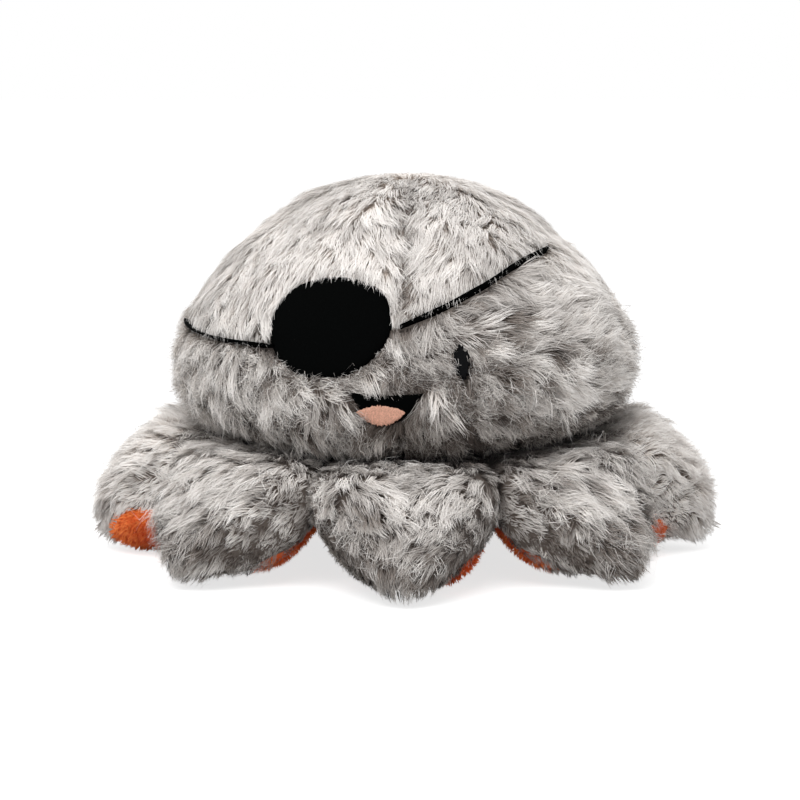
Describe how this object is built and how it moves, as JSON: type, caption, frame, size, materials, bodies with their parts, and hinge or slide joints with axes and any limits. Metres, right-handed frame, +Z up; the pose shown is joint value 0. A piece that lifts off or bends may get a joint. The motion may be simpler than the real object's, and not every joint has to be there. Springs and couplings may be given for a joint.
{
  "type": "reversible plush octopus dog toy",
  "caption": "Stuffed dog toy in the form of an octopus: a furry domed head on short splayed legs that flex at the neck seam, with an orange lined hollow underneath for turning it inside out.",
  "frame": {"origin": "on the floor under the middle of the ring of legs", "axes": "+Z up, -Y the way the face looks, +X to the right of someone facing it"},
  "size_m": [0.202, 0.202, 0.1209],
  "materials": {
    "grey_fur": "long frosted pile, grey-brown roots and pale tips",
    "orange_plush": "short dense plush",
    "stuffing": "loose polyester fibre",
    "black_felt": "matt black felt",
    "black_thread": "close black embroidery",
    "pink_thread": "satin stitch",
    "squeaker_plastic": "soft moulded plastic"
  },
  "bodies": {
    "head": {"head_cover_front_left": "grey_fur", "head_cover_front_right": "grey_fur", "head_cover_back_left": "grey_fur", "head_cover_back_right": "grey_fur", "head_stuffing": "stuffing", "cavity_lining": "orange_plush", "eye_patch": "black_felt", "strap_left": "black_felt", "strap_right": "black_felt", "eye": "black_thread", "mouth": "black_felt", "tongue": "pink_thread", "squeaker_bulb": "squeaker_plastic", "squeaker_reed": "squeaker_plastic"},
    "leg_front": {"leg_front_cover": "grey_fur", "leg_front_sole": "orange_plush", "leg_front_stuffing": "stuffing"},
    "leg_front_right": {"leg_front_right_cover": "grey_fur", "leg_front_right_sole": "orange_plush", "leg_front_right_stuffing": "stuffing"},
    "leg_right": {"leg_right_cover": "grey_fur", "leg_right_sole": "orange_plush", "leg_right_stuffing": "stuffing"},
    "leg_back_right": {"leg_back_right_cover": "grey_fur", "leg_back_right_sole": "orange_plush", "leg_back_right_stuffing": "stuffing"},
    "leg_back": {"leg_back_cover": "grey_fur", "leg_back_sole": "orange_plush", "leg_back_stuffing": "stuffing"},
    "leg_back_left": {"leg_back_left_cover": "grey_fur", "leg_back_left_sole": "orange_plush", "leg_back_left_stuffing": "stuffing"},
    "leg_left": {"leg_left_cover": "grey_fur", "leg_left_sole": "orange_plush", "leg_left_stuffing": "stuffing"},
    "leg_front_left": {"leg_front_left_cover": "grey_fur", "leg_front_left_sole": "orange_plush", "leg_front_left_stuffing": "stuffing"}
  },
  "joints": [
    {"name": "leg_front_lift", "type": "hinge", "parent": "head", "child": "leg_front", "pos_m": [0, -0.062, 0.03758], "axis": [-1, 0, 0], "range_deg": [0, 24], "stiffness_Nm_per_rad": 0.15, "springref_deg": -6.88},
    {"name": "leg_front_right_lift", "type": "hinge", "parent": "head", "child": "leg_front_right", "pos_m": [0.04384, -0.04384, 0.03916], "axis": [-0.7071, -0.7071, 0], "range_deg": [0, 24], "stiffness_Nm_per_rad": 0.15, "springref_deg": -6.88},
    {"name": "leg_right_lift", "type": "hinge", "parent": "head", "child": "leg_right", "pos_m": [0.062, 0, 0.043], "axis": [0, -1, 0], "range_deg": [0, 24], "stiffness_Nm_per_rad": 0.15, "springref_deg": -6.88},
    {"name": "leg_back_right_lift", "type": "hinge", "parent": "head", "child": "leg_back_right", "pos_m": [0.04384, 0.04384, 0.04684], "axis": [0.7071, -0.7071, 0], "range_deg": [0, 24], "stiffness_Nm_per_rad": 0.15, "springref_deg": -6.88},
    {"name": "leg_back_lift", "type": "hinge", "parent": "head", "child": "leg_back", "pos_m": [0, 0.062, 0.04842], "axis": [1, 0, 0], "range_deg": [0, 24], "stiffness_Nm_per_rad": 0.15, "springref_deg": -6.88},
    {"name": "leg_back_left_lift", "type": "hinge", "parent": "head", "child": "leg_back_left", "pos_m": [-0.04384, 0.04384, 0.04684], "axis": [0.7071, 0.7071, 0], "range_deg": [0, 24], "stiffness_Nm_per_rad": 0.15, "springref_deg": -6.88},
    {"name": "leg_left_lift", "type": "hinge", "parent": "head", "child": "leg_left", "pos_m": [-0.062, 0, 0.043], "axis": [0, 1, 0], "range_deg": [0, 24], "stiffness_Nm_per_rad": 0.15, "springref_deg": -6.88},
    {"name": "leg_front_left_lift", "type": "hinge", "parent": "head", "child": "leg_front_left", "pos_m": [-0.04384, -0.04384, 0.03916], "axis": [-0.7071, 0.7071, 0], "range_deg": [0, 24], "stiffness_Nm_per_rad": 0.15, "springref_deg": -6.88}
  ]
}
